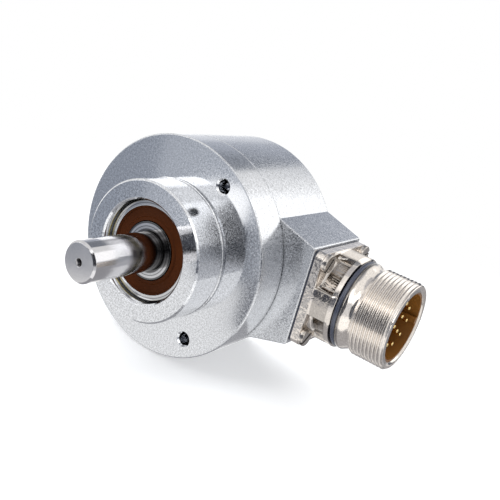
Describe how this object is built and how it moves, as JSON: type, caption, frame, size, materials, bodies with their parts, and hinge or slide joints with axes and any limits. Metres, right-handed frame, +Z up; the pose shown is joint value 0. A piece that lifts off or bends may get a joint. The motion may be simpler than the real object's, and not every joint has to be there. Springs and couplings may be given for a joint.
{
  "type": "incremental rotary encoder",
  "caption": "Shaft encoder with a clamping flange and pilot boss, a round housing and a radial round plug connector; turns shaft rotation into pulses.",
  "frame": {"origin": "on the shaft axis at the flange's mounting face", "axes": "-Y along the shaft, away from the housing; +X along the connector, outwards; +Z up"},
  "size_m": [0.0876, 0.066, 0.058],
  "materials": {
    "aluminium": "fine blasted, clear anodised",
    "stainless_steel": "ground",
    "bearing_steel": "ground",
    "spring_steel": "phosphated",
    "zinc_steel": "zinc plated",
    "nickel_plated": "satin nickel",
    "gold_plated": "polished",
    "brown_rubber": "matt",
    "black_rubber": "satin",
    "amber_plastic": "moulded",
    "cage_plastic": "moulded",
    "black_plastic": "moulded",
    "header_plastic": "moulded",
    "led_resin": "clear resin",
    "circuit_board": "solder resist",
    "polyimide": "film",
    "optical_glass": "polished"
  },
  "bodies": {
    "housing": {"bearing_circlip": "spring_steel", "board_chips": "black_plastic", "board_header": "header_plastic", "board_pillars": "nickel_plated", "collimator_lens": "optical_glass", "connector_board": "circuit_board", "connector_gasket": "black_rubber", "connector_insert": "amber_plastic", "connector_lining": "amber_plastic", "connector_o_ring": "black_rubber", "connector_screws": "nickel_plated", "connector_shell": "nickel_plated", "contacts_inner": "gold_plated", "contacts_outer": "gold_plated", "cover_o_ring": "black_rubber", "cover_pillars": "nickel_plated", "cover_screws": "zinc_steel", "flange": "aluminium", "flex_cable": "polyimide", "flex_socket": "header_plastic", "front_bearing_outer_ring": "bearing_steel", "front_bearing_seals": "brown_rubber", "housing_cover": "aluminium", "light_holder": "black_plastic", "light_source": "led_resin", "main_board": "circuit_board", "rear_bearing_outer_ring": "bearing_steel", "rear_bearing_seals": "brown_rubber", "reticle": "optical_glass", "sensor_chip": "black_plastic"},
    "rotor": {"shaft": "stainless_steel", "front_bearing_inner_ring": "bearing_steel", "rear_bearing_inner_ring": "bearing_steel", "bearing_spacer": "bearing_steel", "shaft_circlip": "spring_steel", "code_hub": "aluminium", "code_disc": "optical_glass", "disc_clamp": "aluminium", "rotor_screw": "zinc_steel"},
    "front_cage": {"front_bearing_cage": "cage_plastic", "front_bearing_balls": "bearing_steel"},
    "rear_cage": {"rear_bearing_cage": "cage_plastic", "rear_bearing_balls": "bearing_steel"}
  },
  "joints": [
    {"name": "shaft_spin", "type": "hinge", "parent": "housing", "child": "rotor", "pos_m": [0, 0, 0], "axis": [0, -1, 0], "continuous": true},
    {"name": "front_cage_spin", "type": "hinge", "parent": "housing", "child": "front_cage", "pos_m": [0, 0, 0], "axis": [0, -1, 0], "continuous": true},
    {"name": "rear_cage_spin", "type": "hinge", "parent": "housing", "child": "rear_cage", "pos_m": [0, 0, 0], "axis": [0, -1, 0], "continuous": true}
  ],
  "couplings": [
    {"joint": "front_cage_spin", "follows": "shaft_spin", "ratio": 0.36772},
    {"joint": "rear_cage_spin", "follows": "shaft_spin", "ratio": 0.36772}
  ]
}
